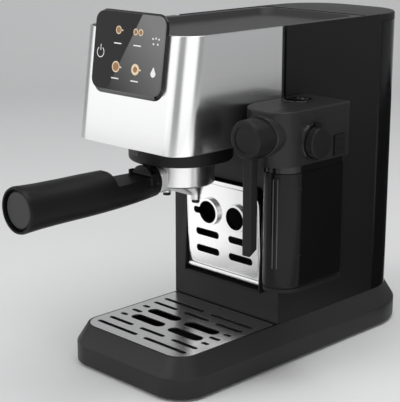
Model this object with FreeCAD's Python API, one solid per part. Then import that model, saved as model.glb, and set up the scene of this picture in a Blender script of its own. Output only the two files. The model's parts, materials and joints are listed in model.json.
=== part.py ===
import FreeCAD, Part
import math
import os

V = FreeCAD.Vector

# Espresso machine with a milk container on its right side. All sizes are millimetres.
# X points to the machine's right, the front faces -Y and Z is up. Heights below count from
# the lower edge of the base, and save() lifts every piece by the standing height of the feet.
foot_stand = 2.5
sheet_gap = 0.2
fit_gap = 0.05

# Base
base_half = 78.0
base_front = -160.5
base_rear = 181.0
base_front_r = 30.0
base_rear_r = 60.0
base_inset = 10.2
band_top = 18.5
deck_z = 35.0
base_wall = 3.0
deck_thick = 3.0
front_deck_thick = 6.4

# Column
column_half = 67.7
column_front_y = -25.7
panel_thick = 2.5
panel_rear_y = 115.4
top_z = 310.0
inner_half = column_half - panel_thick
carrier_top = top_z - 9.7

# Head
head_bottom = 211.7
head_front_low = -152.6
head_front_top = -139.0
head_corner_r = 20.0
steel_thick = 1.5
steel_rear_y = -25.4
groove = 6.0
frame_offset = 2.7
frame_thick = 2.5
frame_rear_y = 6.0
floor_thick = 3.0

# Control panel, measured up the slope of the head's front
panel_half = 44.9
panel_low = 43.7
panel_high = 115.4
glass_half = 43.4
glass_low = 47.4
glass_high = 113.6
glass_shift = 0.5
panel_deep = 2.9
glass_thick = 1.4
module_half = 38.0
module_low = 53.0
module_high = 86.0
module_deep = 9.0

# Group and portafilter, on one upright axis
group_y = -83.1
collar_r = 47.0
collar_bottom = head_bottom - 16.2
collar_wall = 4.5
skirt_bottom = collar_bottom - 3.1
group_body_r = 41.0
group_flange_r = 46.0
lip_r = 31.6
lug_r = 36.2
lug_count = 3
lug_angle = 24.0
unlock_angle = 45.0
ring_r = 30.5
ring_wall = 3.1
ring_bottom = collar_bottom - 25.5
ring_top = collar_bottom + 9.2
basket_thick = 1.0
nozzle_x = 18.7
nozzle_r = 4.4
nozzle_bottom = ring_bottom - 16.0
neck_half = 12.5
neck_high = 10.5
handle_z = ring_bottom + 7.3
handle_end_y = -265.4
handle_end_r = 19.8
handle_mid_r = 18.3
handle_root_y = -119.6
handle_root_r = 14.3
end_wall = 1.6
cap_gap = 2.0
cap_deep = 4.4
scoop_z = handle_z + 6.1
scoop_front = -172.0
scoop_rear = handle_root_y - 5.0
bolt_r = 4.0
clip_y = -129.4
clip_z = scoop_z + 1.2
clip_r = 13.2
clip_drop = 5.4
ear_half = 15.6

# Drip tray and grid
tray_half = 60.5
tray_front = -143.5
tray_rear = -32.5
tray_bottom = 13.0
tray_wall = 2.0
rim_half = 65.9
rim_front = -148.4
rim_rear = -27.6
rim_z = 31.8
rim_thick = 1.8
grid_thick = 1.4
grid_centre_y = -92.0
grid_pitch = 14.2
slot_width = 4.8

# Cup stand
hinge_y = -24.5
hinge_z = 70.0
pin_r = 1.5
stand_lean = 2.6
recess_half = 50.0
stand_half = recess_half - 3.0
stand_top = 160.0
stand_sheet = 1.2
stand_depth = 9.0
stand_roll_r = 3.7
recess_low = 62.0
recess_high = 162.0
recess_back = -11.7

# Water tank
tank_front = 115.9
tank_rear = 171.0
tank_corner_r = 50.0
tank_wall = 2.5
tank_top = 303.0
lid_front_y = 97.2
valve_x = -30.0
valve_y = 140.0
valve_r = 9.8
seat_r = 16.0

# Milk unit
milk_inner_x = column_half + 0.2
milk_outer_x = milk_inner_x + 55.1
milk_front = -88.0
milk_rear = 5.0
milk_low = 201.0
milk_top = 247.8
milk_wall = 2.4
milk_floor = 1.8
dock_y = -8.0
dock_z = milk_low + 25.0
nipple_r = 4.4
nipple_reach = 12.1
hub_x = milk_inner_x + 34.1
hub_z = milk_low + 26.0
hub_r = 16.3
hub_front = milk_front - 21.4
hub_seat = milk_front + 4.0
boss_proud = 6.0
spout_tube = 9.4
spout_tube_y = -101.8
spout_low = 126.4
knob_y = -44.5
knob_z = milk_low + 18.0
knob_ring_r = 17.0
knob_r = 13.5
cap_x = milk_inner_x + 19.6
cap_y = -25.6
cap_r = 13.5
jug_inner_x = milk_inner_x + 2.6
jug_outer_x = milk_outer_x - 1.0
jug_front = milk_front + 9.0
jug_rear = milk_rear - 4.0
jug_bottom = 94.5
jug_top = milk_low - 7.0
jug_wall = 2.4
collar_inset = 1.2
tube_x = milk_inner_x + 30.1
tube_y = -40.0
tube_top = milk_low + 13.8
latch_y = -12.5
latch_z = milk_low + 11.0
latch_half = 7.0
latch_high = 9.0

# Inner works
boiler_half = 50.0
boiler_front = -128.0
boiler_rear = -58.0
boiler_low = head_bottom + 10.5
boiler_high = boiler_low + 34.8
pump_x = -30.0
pump_y = 28.0
pump_r = 22.0
pump_low = 48.0
pump_high = 128.0
shelf_z = 150.0
chassis_y = 58.0
chassis_thick = 2.0
hose_r = 3.4
hose_z = 13.0
meter_y0 = 68.0
meter_y1 = 96.0
steam_x = 46.0
steam_z = head_bottom + 20.3


# General helpers

def save(name, shape):
    shape.translate(V(0, 0, foot_stand))
    os.makedirs("parts", exist_ok=True)
    shape.exportStep("parts/" + name + ".step")


def block(x0, x1, y0, y1, z0, z1):
    return Part.makeBox(x1 - x0, y1 - y0, z1 - z0, V(x0, y0, z0))


def rod(radius, start, axis, length):
    return Part.makeCylinder(radius, length, V(*start), V(*axis))


def sleeve(outer, inner, start, axis, length):
    return rod(outer, start, axis, length).cut(rod(inner, start, axis, length))


def disc(radius, x, y, z0, z1):
    return rod(radius, (x, y, z0), (0, 0, 1), z1 - z0)


def joined(shapes):
    body = shapes[0].multiFuse(shapes[1:])
    return body.removeSplitter()


def group(shapes):
    return Part.makeCompound(shapes)


def outline(corners, place):
    """Closed wire through corners (u, v, radius), each rounded by its own arc."""
    count = len(corners)
    entries, middles, leaves = [], [], []
    for i in range(count):
        u, v, radius = corners[i]
        before = V(corners[i - 1][0] - u, corners[i - 1][1] - v, 0).normalize()
        after_corner = corners[(i + 1) % count]
        after = V(after_corner[0] - u, after_corner[1] - v, 0).normalize()
        half = before.getAngle(after) / 2
        bisector = (before + after).normalize()
        here = V(u, v, 0)
        entries.append(here + before * (radius / math.tan(half)))
        leaves.append(here + after * (radius / math.tan(half)))
        middles.append(here + bisector * (radius / math.sin(half) - radius))
    edges = []
    for i in range(count):
        start, end = leaves[i - 1], entries[i]
        if (end - start).Length > 1e-6:
            edges.append(Part.LineSegment(place(start.x, start.y), place(end.x, end.y)).toShape())
        if corners[i][2] > 0:
            points = [place(p.x, p.y) for p in (entries[i], middles[i], leaves[i])]
            edges.append(Part.Arc(*points).toShape())
    return Part.Wire(edges)


def plan_wire(corners, z):
    return outline(corners, lambda u, v: V(u, v, z))


def plan_slab(corners, z0, z1):
    return Part.Face(plan_wire(corners, z0)).extrude(V(0, 0, z1 - z0))


def front_slab(corners, y0, y1):
    wire = outline(corners, lambda u, v: V(u, y0, v))
    return Part.Face(wire).extrude(V(0, y1 - y0, 0))


def side_slab(corners, x0, x1):
    wire = outline(corners, lambda u, v: V(x0, u, v))
    return Part.Face(wire).extrude(V(x1 - x0, 0, 0))


def taper(low_corners, low_z, high_corners, high_z):
    wires = [plan_wire(low_corners, low_z), plan_wire(high_corners, high_z)]
    return Part.makeLoft(wires, True, True)


def oblong(x0, x1, y0, y1, front_r, rear_r):
    return [(x0, y0, front_r), (x1, y0, front_r), (x1, y1, rear_r), (x0, y1, rear_r)]


def upright(x0, x1, z0, z1, low_r, high_r):
    return [(x0, z0, low_r), (x1, z0, low_r), (x1, z1, high_r), (x0, z1, high_r)]


def slot(centre_x, centre_y, length, width, z0, z1):
    corners = oblong(centre_x - length / 2, centre_x + length / 2,
                     centre_y - width / 2, centre_y + width / 2,
                     width / 2 - 0.01, width / 2 - 0.01)
    return plan_slab(corners, z0, z1)


def pipe(points, radius, bend):
    """Round pipe along straight runs joined by arcs of one bend radius."""
    vectors = [V(*p) for p in points]
    edges = []
    start = vectors[0]
    for i in range(1, len(vectors) - 1):
        before = (vectors[i - 1] - vectors[i]).normalize()
        after = (vectors[i + 1] - vectors[i]).normalize()
        half = before.getAngle(after) / 2
        entry = vectors[i] + before * (bend / math.tan(half))
        leave = vectors[i] + after * (bend / math.tan(half))
        bisector = (before + after).normalize()
        middle = vectors[i] + bisector * (bend / math.sin(half) - bend)
        edges.append(Part.LineSegment(start, entry).toShape())
        edges.append(Part.Arc(entry, middle, leave).toShape())
        start = leave
    edges.append(Part.LineSegment(start, vectors[-1]).toShape())
    path = Part.Wire(edges)
    circle = Part.Circle(vectors[0], vectors[1] - vectors[0], radius).toShape()
    return path.makePipeShell([Part.Wire([circle])], True, False)


# Base

def base_plan(inset):
    return oblong(-base_half + inset, base_half - inset, base_front + inset, base_rear - inset,
                  base_front_r - inset, base_rear_r - inset)


def slope_inset(z):
    return base_inset * (z - band_top) / (deck_z - band_top)


screw_places = [(-30.0, base_front + 9.9), (30.0, base_front + 9.9), (-40.0, 150.0), (40.0, 150.0)]
foot_places = [(-58.0, -132.0), (58.0, -132.0), (-46.0, 144.0), (46.0, 144.0)]
cord_z = 10.5
cord_r = 6.0
screw_r = 1.5
plate_thick = 3.0
foot_r = 9.0
foot_stem_r = 3.0


def make_base_shell():
    cavity_z = deck_z - front_deck_thick
    outer = joined([plan_slab(base_plan(0), 0, band_top),
                    taper(base_plan(0), band_top, base_plan(base_inset), deck_z)])
    low = plan_slab(base_plan(base_wall), -1, band_top)
    high = taper(base_plan(base_wall), band_top,
                 base_plan(base_wall + slope_inset(cavity_z)), cavity_z)
    shell = outer.cut(low).cut(high)
    rear_pocket = plan_slab(oblong(-58, 58, rim_rear + 8, 150, 4, 30), cavity_z - 1, deck_z - deck_thick)
    shell = shell.cut(rear_pocket)
    rebate_rise = 0.4
    rebate = plan_slab(oblong(-rim_half - rebate_rise, rim_half + rebate_rise,
                              rim_front - rebate_rise, rim_rear + rebate_rise, 18.3, 3),
                       rim_z - sheet_gap, deck_z + 1)
    well = plan_slab(oblong(-tray_half - 0.5, tray_half + 0.5, tray_front - 0.5, tray_rear + 0.5, 14, 6),
                     cavity_z - 1, deck_z)
    shell = shell.cut(rebate).cut(well)
    bosses = [disc(3.2, x, y, plate_thick + sheet_gap, cavity_z + 1.5) for x, y in screw_places[:2]]
    bosses += [disc(4.0, x, y, plate_thick + sheet_gap, deck_z - deck_thick) for x, y in screw_places[2:]]
    shell = joined([shell] + bosses)
    for x, y in screw_places:
        shell = shell.cut(disc(screw_r + fit_gap, x, y, 0, 14.5))
    shell = shell.cut(rod(cord_r + fit_gap, (0, base_rear - 10, cord_z), (0, 1, 0), 20))
    shell = shell.cut(disc(5.3, valve_x, valve_y, 25, deck_z + 1))
    shell = shell.cut(disc(6.0, pump_x, pump_y, 25, deck_z + 1))
    return shell


def make_base_plate():
    plate = plan_slab(base_plan(base_wall + 0.3), 0, plate_thick)
    for x, y in screw_places:
        plate = plate.cut(disc(3.1, x, y, -1, 1.9)).cut(disc(screw_r + 0.2, x, y, -1, plate_thick + 1))
    for x, y in foot_places:
        plate = plate.cut(disc(foot_stem_r + fit_gap, x, y, -1, plate_thick + 1))
    return plate


def make_rubber_feet():
    feet = []
    for x, y in foot_places:
        pad = disc(foot_r, x, y, -foot_stand, 0)
        feet.append(joined([pad, disc(foot_stem_r, x, y, 0, plate_thick)]))
    return group(feet)


def make_base_screws():
    screws = []
    for x, y in screw_places:
        head = disc(2.8, x, y, 0.1, 1.8)
        screws.append(joined([head, disc(screw_r, x, y, 1.8, 13.5)]))
    return group(screws)


def make_cord_gland():
    inner_face = base_rear - base_wall
    body = joined([rod(cord_r, (0, inner_face - 5, cord_z), (0, 1, 0), base_wall + 5),
                   rod(cord_r + 2.0, (0, base_rear, cord_z), (0, 1, 0), 1.6),
                   rod(cord_r + 1.2, (0, inner_face - 2.2, cord_z), (0, 1, 0), 2.0)])
    return body.cut(rod(3.8, (0, inner_face - 6, cord_z), (0, 1, 0), 14))


# Drip tray

def tray_plan(gap, front_r, rear_r):
    return oblong(-tray_half + gap, tray_half - gap, tray_front + gap, tray_rear - gap, front_r, rear_r)


def make_drip_tray():
    tub = plan_slab(tray_plan(0, 13.5, 5.5), tray_bottom, rim_z + rim_thick)
    rim = plan_slab(oblong(-rim_half, rim_half, rim_front, rim_rear, 18, 2.8), rim_z, rim_z + rim_thick)
    inside = plan_slab(tray_plan(tray_wall, 13.5 - tray_wall, 5.5 - tray_wall),
                       tray_bottom + tray_wall, rim_z + rim_thick + 1)
    return joined([tub, rim]).cut(inside)


def make_drip_grid():
    low = rim_z + rim_thick + sheet_gap
    high = low + grid_thick
    plate = plan_slab(oblong(-rim_half + 0.2, rim_half - 0.2, rim_front + 0.2, rim_rear - 0.2, 18, 2.8),
                      low, high)
    cut_low, cut_high = low - 1, high + 1
    rows = {3: [(31.5, 53.6)], 2: [(42.0, 32.0), (0.0, 32.0)], 1: [(54.0, 8.6)], 0: [(51.8, 12.8)]}
    for step, slots in rows.items():
        for side in sorted({step, -step}):
            for centre_x, length in slots:
                for x in sorted({centre_x, -centre_x}):
                    y = grid_centre_y + side * grid_pitch
                    plate = plate.cut(slot(x, y, length, slot_width, cut_low, cut_high))
    oval_length, oval_width, oval_x, oval_y = 41.0, 12.0, 24.8, 10.5
    for x in (-oval_x, oval_x):
        for y in (grid_centre_y - oval_y, grid_centre_y + oval_y):
            plate = plate.cut(slot(x, y, oval_length, oval_width, cut_low, cut_high))
    return plate.cut(disc(1.8, 0, rim_rear - 4, cut_low, cut_high))


# Column

def make_column_front():
    top = head_bottom - 0.5
    plate = block(-column_half, column_half, column_front_y, column_front_y + panel_thick,
                  deck_z + sheet_gap, top)
    pocket = front_slab(upright(-recess_half - 2, recess_half + 2, recess_low - 2, recess_high + 2, 1, 10),
                        column_front_y + panel_thick - 0.5, recess_back + 2)
    hollow = front_slab(upright(-recess_half, recess_half, recess_low, recess_high, 0, 8),
                        column_front_y - 1, recess_back)
    return joined([plate, pocket]).cut(hollow)


def make_stand_bracket():
    cheek_out = recess_half - sheet_gap
    cheek_in = cheek_out - 1.4
    back = recess_back - 0.3
    low = recess_low + 0.3
    profile = [(-26.2, 152, 0), (-31.4, 66, 0), (-30.4, low, 0), (back, low, 0), (back, 152, 0)]
    parts = [side_slab(profile, -cheek_out, -cheek_in), side_slab(profile, cheek_in, cheek_out)]
    parts.append(block(-cheek_out, cheek_out, -30.4, back, low, low + 2.2))
    parts.append(block(-cheek_out, cheek_out, back - 1.6, back, low, 152))
    bracket = joined(parts)
    return bracket.cut(rod(pin_r + fit_gap, (-60, hinge_y, hinge_z), (1, 0, 0), 120))


def make_stand_pin():
    reach = recess_half - sheet_gap - 0.1
    return rod(pin_r, (-reach, hinge_y, hinge_z), (1, 0, 0), 2 * reach)


def make_cup_stand():
    front = hinge_y - 2.2
    low = hinge_z + 3.5
    corners = upright(-stand_half, stand_half, low, stand_top, 2, 17)
    inner = upright(-stand_half + stand_sheet, stand_half - stand_sheet,
                    low + stand_sheet, stand_top - stand_sheet, 0.8, 17 - stand_sheet)
    pan = front_slab(corners, front, front + stand_depth)
    pan = pan.cut(front_slab(inner, front + stand_sheet, front + stand_depth + 1))
    raised_half = stand_half - 1.8
    raised_low, raised_high = hinge_z + 5.2, stand_top - 4
    field = upright(-raised_half, raised_half, raised_low, raised_high, 12, 15)
    raised = front_slab(field, front - 0.6, front + 0.1)
    around = upright(-raised_half - 0.9, raised_half + 0.9, raised_low - 0.9, raised_high + 0.9, 12.9, 15.9)
    groove = front_slab(around, front - 1, front + 0.5).cut(front_slab(field, front - 2, front + 1))
    apron = block(-stand_half, stand_half, front, front + stand_sheet, hinge_z + 1, low + 1.5)
    roll_half = recess_half - 2.4
    roll = rod(stand_roll_r, (-roll_half, hinge_y, hinge_z), (1, 0, 0), 2 * roll_half)
    hole_r, collar_out, collar_high, holes_z = 10.9, 13.2, 3.8, 128.6
    key_half, key_reach = 3.3, 18.2
    hole_xs = (-16.0, 19.2)
    collars = [rod(collar_out, (x, front - collar_high, holes_z), (0, 1, 0), collar_high) for x in hole_xs]
    rim_wall = collar_out - hole_r
    key_x0, key_x1 = hole_xs[0] - key_reach, hole_xs[0]
    rim_low, rim_high = holes_z - key_half - rim_wall, holes_z + key_half + rim_wall
    key_rim = front_slab(upright(key_x0 - rim_wall, key_x1, rim_low, rim_high, 5, 5),
                         front - collar_high, front)
    stand = joined([pan.cut(groove), raised, apron.cut(groove), roll, key_rim] + collars)
    for x in hole_xs:
        stand = stand.cut(rod(hole_r, (x, front - 20, holes_z), (0, 1, 0), 24))
    key = front_slab(upright(key_x0, key_x1, holes_z - key_half, holes_z + key_half, 3, 3),
                     front - 10, front + 3)
    stand = stand.cut(key)
    slot_xs, slot_half, slot_high = (-20.1, 22.8), 15.2, 7.0
    for x in slot_xs:
        for z in (89.0, 106.0):
            corners = upright(x - slot_half, x + slot_half, z - slot_high / 2, z + slot_high / 2, 3.3, 3.3)
            stand = stand.cut(front_slab(corners, front - 2, front + 3))
    stand = stand.cut(rod(pin_r + 0.06, (-60, hinge_y, hinge_z), (1, 0, 0), 120))
    stand.rotate(V(0, hinge_y, hinge_z), V(1, 0, 0), stand_lean)
    return stand


def panel_profile():
    low_y = column_front_y + panel_thick + 0.2
    high_y = steel_rear_y + groove
    return [(low_y, deck_z + sheet_gap, 0), (panel_rear_y, deck_z + sheet_gap, 0), (panel_rear_y, top_z, 0),
            (high_y, top_z, 0), (high_y, head_bottom + 0.2, 0), (low_y, head_bottom + 0.2, 0)]


def make_side_panel_left():
    return side_slab(panel_profile(), -column_half, -inner_half)


def make_side_panel_right():
    panel = side_slab(panel_profile(), inner_half, column_half)
    for z, radius in ((dock_z, nipple_r + 0.2), (dock_z - 17, 2.1), (dock_z + 14, 2.1)):
        panel = panel.cut(rod(radius, (inner_half - 1, dock_y, z), (1, 0, 0), panel_thick + 2))
    return panel


def make_back_cover():
    return block(-inner_half + sheet_gap, inner_half - sheet_gap, panel_rear_y - panel_thick, panel_rear_y,
                 deck_z + sheet_gap, carrier_top)


def make_chassis():
    half = inner_half - 0.3
    wall = block(-half, half, chassis_y, chassis_y + chassis_thick, deck_z + sheet_gap, carrier_top)
    shelf = block(-half, half, recess_back + 2.3, chassis_y, shelf_z, shelf_z + chassis_thick)
    feet = [block(x - 8, x + 8, chassis_y, chassis_y + 14, deck_z + sheet_gap, deck_z + 2.2)
            for x in (-50, 50)]
    frame = joined([wall, shelf] + feet)
    return frame.cut(disc(8, pump_x, pump_y, shelf_z - 1, shelf_z + 5))


# Head

def head_front_y(z):
    return head_front_low + (head_front_top - head_front_low) * (z - head_bottom) / (top_z - head_bottom)


def head_block(offset, z0, z1, rear_y):
    """Upright box with the slanted front and its two rounded edges, taken in by offset."""
    lean = math.atan((head_front_top - head_front_low) / (top_z - head_bottom))
    shift = offset / math.cos(lean)
    half = column_half - offset
    profile = [(head_front_y(z0) + shift, z0, 0), (head_front_y(z1) + shift, z1, 0), (rear_y, z1, 0),
               (rear_y, z0, 0)]
    body = side_slab(profile, -half, half)
    middle_y = (head_front_y(z0) + head_front_y(z1)) / 2 + shift
    edges = []
    for edge in body.Edges:
        centre = edge.CenterOfMass
        on_side = abs(abs(centre.x) - half) < 0.01 and abs(centre.y - middle_y) < 0.01
        if on_side and abs(centre.z - (z0 + z1) / 2) < 0.01:
            edges.append(edge)
    return body.makeFillet(head_corner_r - offset, edges)


def module_box(inset, front):
    """The panel's box in the head, before it leans: inset from its walls, from y = front inwards."""
    return block(-module_half + inset, module_half - inset, head_front_low + front,
                 head_front_low + module_deep - inset, head_bottom + module_low + inset,
                 head_bottom + module_high - inset)


panel_lean = math.degrees(math.atan((head_front_top - head_front_low) / (top_z - head_bottom)))


def lean_back(shape):
    shape.rotate(V(0, head_front_low, head_bottom), V(1, 0, 0), -panel_lean)
    return shape


def make_head_cover():
    outer = head_block(0, head_bottom, top_z, steel_rear_y)
    inner = head_block(steel_thick, head_bottom - 1, top_z + 1, steel_rear_y + 5)
    return outer.cut(inner).cut(lean_back(module_box(-0.4, -5)))


def make_head_frame():
    low = head_bottom + floor_thick + sheet_gap
    outer = head_block(frame_offset, low, carrier_top, frame_rear_y)
    inner = head_block(frame_offset + frame_thick, low - 1, carrier_top + 1, frame_rear_y + 5)
    frame = outer.cut(inner)
    frame = frame.cut(lean_back(module_box(-0.4, -5)))
    return frame.cut(rod(nipple_r + 0.2, (inner_half - 15, dock_y, dock_z), (1, 0, 0), 20))


def make_head_floor():
    plate = head_block(steel_thick + 0.2, head_bottom, head_bottom + floor_thick, steel_rear_y - 0.5)
    return plate.cut(disc(group_body_r + 0.4, 0, group_y, head_bottom - 1, head_bottom + 5))


def make_top_cover():
    low = carrier_top + sheet_gap
    high = top_z - 0.5
    half = inner_half - 0.3
    front = head_block(steel_thick + 0.3, low, high, steel_rear_y)
    rear = block(-half, half, steel_rear_y - 1, lid_front_y - 0.3, low, high)
    ledge = block(-half, half, lid_front_y - 1, panel_rear_y, low, low + 2.2)
    cover = joined([front, rear, ledge])
    dish_half, dish_front, dish_rear, dish_deep, flare = 57.0, -122.0, 92.0, 6.0, 3.0
    low_half, slope = dish_half - flare, flare + 1
    floor_plan = oblong(-low_half, low_half, dish_front + slope, dish_rear - slope, 11, 11)
    dish = taper(floor_plan, high - dish_deep,
                 oblong(-dish_half, dish_half, dish_front, dish_rear, 14, 14), high + 0.01)
    return cover.cut(dish)


def panel_wire(half, low, high, radius, depth, shift=0.0):
    y = head_front_low - depth
    corners = upright(shift - half, shift + half, head_bottom + low, head_bottom + high, radius, radius)
    return outline(corners, lambda u, v: V(u, y, v))


def make_panel_housing():
    wires = [panel_wire(panel_half, panel_low, panel_high, 12, 0.2),
             panel_wire(glass_half, glass_low, glass_high, 10, panel_deep, glass_shift)]
    bezel = Part.makeLoft(wires, True, True)
    tub = module_box(0, -panel_deep / 2)
    return lean_back(joined([bezel, tub]).cut(module_box(1.6, -10)))


def make_panel_glass():
    wire = panel_wire(glass_half, glass_low, glass_high, 10, panel_deep + 0.1, glass_shift)
    return lean_back(Part.Face(wire).extrude(V(0, -glass_thick, 0)))


def make_panel_board():
    board = module_box(1.8, -1.5)
    chips = []
    for x in (-24, -8, 8, 24):
        z = head_bottom + (module_low + module_high) / 2
        chips.append(block(x - 5, x + 5, head_front_low - panel_deep, head_front_low, z - 6, z + 6))
    return lean_back(joined([board] + chips))


# Group

def make_group_collar():
    outer = disc(collar_r, 0, group_y, skirt_bottom, head_bottom - sheet_gap)
    low_edges = [e for e in outer.Edges if abs(e.BoundBox.ZMax - skirt_bottom) < 0.01]
    outer = outer.makeFillet(2.4, low_edges)
    outer = outer.cut(disc(lug_r + 1.3, 0, group_y, skirt_bottom - 1, head_bottom))
    return outer.cut(disc(collar_r - collar_wall, 0, group_y, collar_bottom + 3, head_bottom))


def sector(radius, inner, centre_angle, width, z0, z1):
    start = centre_angle - width / 2
    wedge = Part.makeCylinder(radius, z1 - z0, V(0, group_y, z0), V(0, 0, 1), width)
    wedge.rotate(V(0, group_y, 0), V(0, 0, 1), start)
    return wedge.cut(disc(inner, 0, group_y, z0 - 1, z1 + 1))


lug_places = [90.0 + k * 360.0 / lug_count for k in range(lug_count)]
lip_top = collar_bottom + 6.4
ceiling = collar_bottom + 11.6


def make_group_head():
    low = collar_bottom + 3.4
    body = disc(group_body_r, 0, group_y, low, head_bottom + floor_thick + sheet_gap)
    flange = disc(group_flange_r, 0, group_y, head_bottom + floor_thick + sheet_gap, boiler_low - sheet_gap)
    head = joined([body, flange])
    head = head.cut(disc(lip_r, 0, group_y, low - 1, lip_top))
    head = head.cut(disc(lug_r + 0.6, 0, group_y, lip_top, ceiling))
    for angle in lug_places:
        gap = sector(lug_r + 0.6, 10, angle - unlock_angle, lug_angle + 6, low - 1, lip_top + 0.1)
        head = head.cut(gap)
    groove_cut = disc(lip_r, 0, group_y, ceiling - 0.1, ceiling + 5.4)
    groove_cut = groove_cut.cut(disc(24.9, 0, group_y, ceiling - 1, ceiling + 6))
    head = head.cut(groove_cut).cut(disc(24.9, 0, group_y, ceiling - 0.1, ceiling + 1.4))
    return head.cut(disc(2.1, 0, group_y, ceiling, ceiling + 10))


def make_group_gasket():
    return disc(lip_r - 0.2, 0, group_y, ceiling - 1, ceiling + 5.2).cut(
        disc(25.1, 0, group_y, ceiling - 2, ceiling + 6))


def make_shower_screen():
    screen = disc(24.6, 0, group_y, ceiling - 0.4, ceiling + 1.2)
    return screen.cut(disc(2.2, 0, group_y, ceiling - 1, ceiling + 2))


def make_shower_screw():
    return joined([disc(4, 0, group_y, ceiling - 2.2, ceiling - 0.6),
                   disc(2, 0, group_y, ceiling - 0.6, ceiling + 9)])


# Inner works

def make_boiler():
    core = block(-boiler_half, boiler_half, boiler_front, boiler_rear, boiler_low, boiler_high)
    middle_z = (boiler_low + boiler_high) / 2
    core = core.makeFillet(6, [e for e in core.Edges if abs(e.CenterOfMass.z - middle_z) < 0.1])
    heater = [rod(5, (x, boiler_front + 12, boiler_high), (0, 1, 0), boiler_rear - boiler_front - 24)
              for x in (-26, 26)]
    port = rod(5, (0, boiler_front + 35, boiler_high - 1), (0, 0, 1), 9)
    return joined([core, port] + heater)


def make_pump():
    body = disc(pump_r - 4, pump_x, pump_y, pump_low, pump_high)
    coil = block(pump_x - pump_r, pump_x + pump_r, pump_y - pump_r, pump_y + pump_r,
                 pump_low + 18, pump_high - 16)
    nipples = [disc(2.6, pump_x, pump_y, pump_low - 5.8, pump_low),
               disc(2.6, pump_x, pump_y, pump_high, pump_high + 6)]
    return joined([body, coil] + nipples)


def make_pump_mounts():
    rings = []
    for z0, z1 in ((deck_z + sheet_gap, pump_low), (pump_high, shelf_z - sheet_gap)):
        rings.append(disc(16, pump_x, pump_y, z0, z1).cut(disc(7, pump_x, pump_y, z0 - 1, z1 + 1)))
    return group(rings)


def make_suction_hose():
    rear = pipe([(valve_x, valve_y, 23.8), (valve_x, valve_y, hose_z),
                 (valve_x, meter_y1 + 0.2, hose_z)], hose_r, 9)
    front = pipe([(valve_x, meter_y0 - 0.2, hose_z), (valve_x, pump_y, hose_z),
                  (valve_x, pump_y, pump_low - 6)], hose_r, 9)
    return group([rear, front])


def make_flow_meter():
    body = block(valve_x - 14, valve_x + 14, meter_y0, meter_y1, plate_thick + sheet_gap, hose_z + 6)
    return joined([body, disc(11, valve_x, (meter_y0 + meter_y1) / 2, hose_z + 6, hose_z + 10)])


def make_pressure_hose():
    run_z = boiler_low + 17.8
    points = [(pump_x, pump_y, pump_high + 6.2), (pump_x, pump_y, run_z), (pump_x, boiler_rear + 0.2, run_z)]
    return pipe(points, 2.5, 25)


def make_steam_valve():
    return block(steam_x - 8, inner_half - frame_thick - 0.4, -20, 4, head_bottom + 3, steam_z + 8)


def make_steam_hose():
    return rod(3, (steam_x, boiler_rear + 0.2, steam_z), (0, 1, 0), -20.2 - boiler_rear - 0.2)


def make_control_board():
    y = chassis_y + chassis_thick + sheet_gap
    parts = [block(-45, 45, y + 4, y + 5.6, 180, 270)]
    parts += [rod(3, (x, y, z), (0, 1, 0), 4.5) for x in (-38, 38) for z in (188, 262)]
    parts += [block(-34, -10, y + 5, y + 22, 196, 216), block(4, 30, y + 5, y + 18, 196, 222)]
    parts.append(rod(9, (-20, y + 5, 244), (0, 1, 0), 20))
    return joined(parts)


def make_tank_seat():
    floor = deck_z + 3
    body = disc(seat_r, valve_x, valve_y, deck_z + sheet_gap, deck_z + 8)
    nipple = disc(5, valve_x, valve_y, 24, deck_z + 1)
    seat = joined([body, nipple]).cut(disc(valve_r + 0.7, valve_x, valve_y, floor, deck_z + 9))
    return seat.cut(disc(2.4, valve_x, valve_y, 20, deck_z + 9))


def make_milk_dock():
    plate = side_slab([(dock_y - 10.5, dock_z - 21.5, 3), (dock_y + 10.5, dock_z - 21.5, 3),
                       (dock_y + 10.5, dock_z + 17.5, 3), (dock_y - 10.5, dock_z + 17.5, 3)],
                      column_half, column_half + 2.4)
    inner_end = inner_half - 2.7
    nipple_length = milk_inner_x + nipple_reach - inner_end
    parts = [plate, rod(nipple_r, (inner_end, dock_y, dock_z), (1, 0, 0), nipple_length)]
    parts += [rod(2, (inner_half, dock_y, z), (1, 0, 0), 4) for z in (dock_z - 17, dock_z + 14)]
    return joined(parts).cut(rod(1.8, (inner_half - 5, dock_y, dock_z), (1, 0, 0), 30))


# Portafilter

def make_filter_ring():
    outer = disc(ring_r, 0, group_y, ring_bottom, ring_top)
    neck = front_slab(upright(-neck_half, neck_half, handle_z - neck_high, handle_z + neck_high, 5, 5),
                      handle_root_y + 0.3, group_y - 25)
    lugs = []
    for angle in lug_places:
        lugs.append(sector(lug_r, ring_r - 0.3, angle, lug_angle, lip_top + 0.2, lip_top + 3.0))
    ring = joined([outer, neck] + lugs)
    ring = ring.cut(disc(ring_r - ring_wall, 0, group_y, ring_bottom + 2.5, ring_top + 1))
    ring = ring.cut(disc(6.2, 0, group_y, ring_bottom - 1, ring_bottom + 3))
    return ring.cut(rod(bolt_r + fit_gap, (0, handle_root_y - 1, handle_z), (0, 1, 0), 6.5))


def make_portafilter_spout():
    top = ring_bottom - sheet_gap
    reach = nozzle_x + nozzle_r + 0.4
    narrow = oblong(-reach, reach, group_y - 5.5, group_y + 5.5, 5.4, 5.4)
    wide = oblong(-reach, reach, group_y - 15, group_y + 15, 14.9, 14.9)
    funnel = joined([taper(narrow, top - 8.5, wide, top - 1.2), plan_slab(wide, top - 1.2, top)])
    parts = [funnel, disc(6, 0, group_y, top - 1, ring_bottom + 2)]
    parts += [disc(nozzle_r, x, group_y, nozzle_bottom, top - 6) for x in (-nozzle_x, nozzle_x)]
    spout = joined(parts)
    for x in (-nozzle_x, nozzle_x):
        spout = spout.cut(disc(nozzle_r - 1.5, x, group_y, nozzle_bottom - 1, nozzle_bottom + 5))
    return spout


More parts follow.
